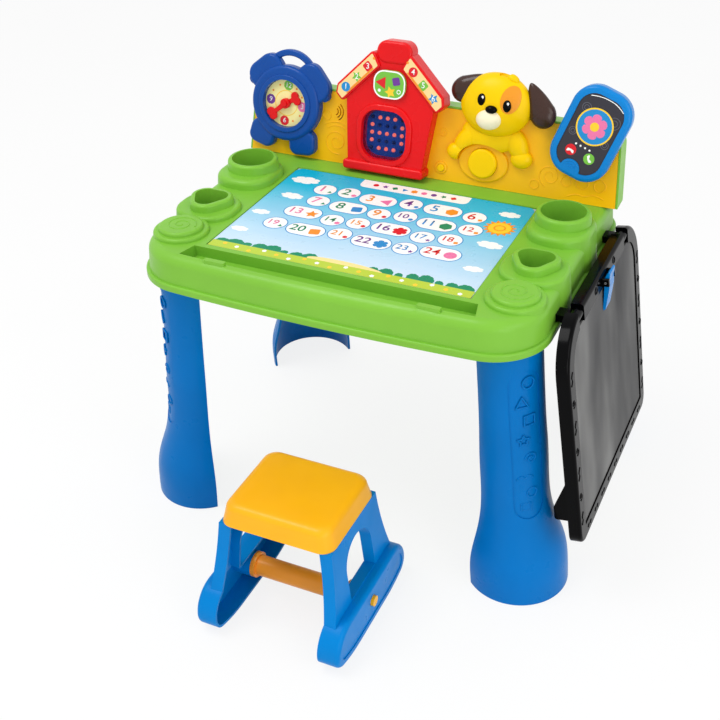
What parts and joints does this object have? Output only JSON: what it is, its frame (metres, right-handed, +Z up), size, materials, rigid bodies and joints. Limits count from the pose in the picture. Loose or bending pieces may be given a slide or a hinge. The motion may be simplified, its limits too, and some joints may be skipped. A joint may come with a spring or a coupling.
{
  "type": "activity desk",
  "caption": "Child's activity desk with leaning play console, buttons, clock hands, toy telephone, side chalkboard, cup pods, pencil groove and separate step stool.",
  "frame": {"origin": "on the floor under the middle of the whole set's box, desk, open chalkboard and stool together", "axes": "+Z up, +Y from the stool towards the console, +X from the clock towards the chalkboard"},
  "size_m": [0.7316, 0.7838, 0.6856],
  "materials": {
    "green_plastic": "satin moulded",
    "leg_blue_plastic": "satin moulded",
    "yellow_plate_plastic": "satin moulded",
    "clock_blue_plastic": "gloss moulded",
    "dial_cream": "printed",
    "red_plastic": "gloss moulded",
    "strip_print": "printed",
    "badge_print": "printed",
    "window_navy": "tinted clear",
    "lamp_red": "lit lens",
    "puppy_yellow": "satin moulded",
    "puppy_brown": "satin moulded",
    "puppy_orange": "satin moulded",
    "puppy_cream": "satin moulded",
    "black_plastic": "gloss moulded",
    "chalk_grey": "chalk surface",
    "phone_blue_plastic": "gloss moulded",
    "screen_dark": "printed gloss",
    "seat_yellow_plastic": "satin moulded",
    "bar_orange_plastic": "satin moulded",
    "page_print": "coated print",
    "pad_grey": "film",
    "circuit_green": "laminate",
    "inner_black": "moulded",
    "steel": "bright"
  },
  "bodies": {
    "desk": {"desk_top": "green_plastic", "desk_underside": "green_plastic", "touch_pad": "pad_grey", "front_left_leg": "leg_blue_plastic", "rear_left_leg": "leg_blue_plastic", "front_right_leg": "leg_blue_plastic", "rear_right_leg": "leg_blue_plastic", "desk_screws": "steel", "console_rear_cover": "green_plastic", "console_front_plate": "yellow_plate_plastic", "console_screws": "steel", "button_switches": "inner_black", "main_circuit_board": "circuit_green", "speaker": "inner_black", "battery_box": "inner_black", "batteries": "steel", "battery_door": "green_plastic", "clock_front": "clock_blue_plastic", "clock_back": "clock_blue_plastic", "clock_dial": "dial_cream", "clock_spindle": "red_plastic", "house_front": "red_plastic", "house_back": "red_plastic", "house_window": "window_navy", "lamp_board": "circuit_green", "lamps": "lamp_red", "left_roof_strip": "strip_print", "right_roof_strip": "strip_print", "gable_badge": "badge_print", "puppy_head": "puppy_yellow", "puppy_back": "puppy_yellow", "left_ear": "puppy_brown", "right_ear": "puppy_brown", "puppy_body": "puppy_yellow", "muzzle": "puppy_cream", "nose": "black_plastic", "eyes": "black_plastic", "eye_patch": "puppy_orange", "hinge_brackets": "black_plastic", "hinge_pins": "steel"},
    "chalkboard": {"chalkboard_frame": "black_plastic", "chalk_panel": "chalk_grey", "chalkboard_back": "black_plastic", "clip_pin": "steel"},
    "clip": {"paper_clip": "phone_blue_plastic"},
    "hour_pointer": {"hour_hand": "red_plastic"},
    "minute_pointer": {"minute_hand": "red_plastic"},
    "belly_button": {"round_button": "puppy_yellow"},
    "side_button": {"small_button": "puppy_yellow"},
    "switch_knob": {"power_slider": "red_plastic"},
    "telephone": {"phone_case": "phone_blue_plastic", "phone_screen": "screen_dark", "phone_back": "phone_blue_plastic"},
    "page": {"activity_page": "page_print"},
    "stool": {"stool_seat": "seat_yellow_plastic", "stool_right_side": "leg_blue_plastic", "stool_left_side": "leg_blue_plastic", "stool_crossbar": "bar_orange_plastic", "stool_plugs": "seat_yellow_plastic"}
  },
  "joints": [
    {"name": "chalkboard_hinge", "type": "hinge", "parent": "desk", "child": "chalkboard", "pos_m": [0.30838, 0.05513, 0.447], "axis": [0, -1, 0], "range_deg": [0, 90]},
    {"name": "clip_hinge", "type": "hinge", "parent": "chalkboard", "child": "clip", "pos_m": [0.32267, 0.05513, 0.4461], "axis": [0, -1, 0], "range_deg": [0, 22], "stiffness_Nm_per_rad": 0.25, "springref_deg": -20.05},
    {"name": "hour_hand_turn", "type": "hinge", "parent": "desk", "child": "hour_pointer", "pos_m": [-0.25162, 0.20025, 0.56678], "axis": [0, -0.9848, 0.1736], "continuous": true},
    {"name": "minute_hand_turn", "type": "hinge", "parent": "desk", "child": "minute_pointer", "pos_m": [-0.25162, 0.20025, 0.56678], "axis": [0, -0.9848, 0.1736], "continuous": true},
    {"name": "belly_button_press", "type": "slide", "parent": "desk", "child": "belly_button", "axis": [0, 0.9848, -0.1736], "range_m": [0, 0.0025], "stiffness_N_per_m": 500, "springref_m": -0.001},
    {"name": "side_button_press", "type": "slide", "parent": "desk", "child": "side_button", "axis": [0, 0.9848, -0.1736], "range_m": [0, 0.0025], "stiffness_N_per_m": 400, "springref_m": -0.001},
    {"name": "power_slide", "type": "slide", "parent": "desk", "child": "switch_knob", "axis": [1, 0, 0], "range_m": [0, 0.01]},
    {"name": "telephone_lift", "type": "slide", "parent": "desk", "child": "telephone", "axis": [0, -0.9848, 0.1736], "range_m": [0, 0.06]},
    {"name": "page_lift", "type": "slide", "parent": "desk", "child": "page", "axis": [0, 0, 1], "range_m": [0, 0.05]},
    {"name": "stool_slide", "type": "slide", "parent": "desk", "child": "stool", "axis": [0, 1, 0], "range_m": [-0.15, 0.25]}
  ]
}
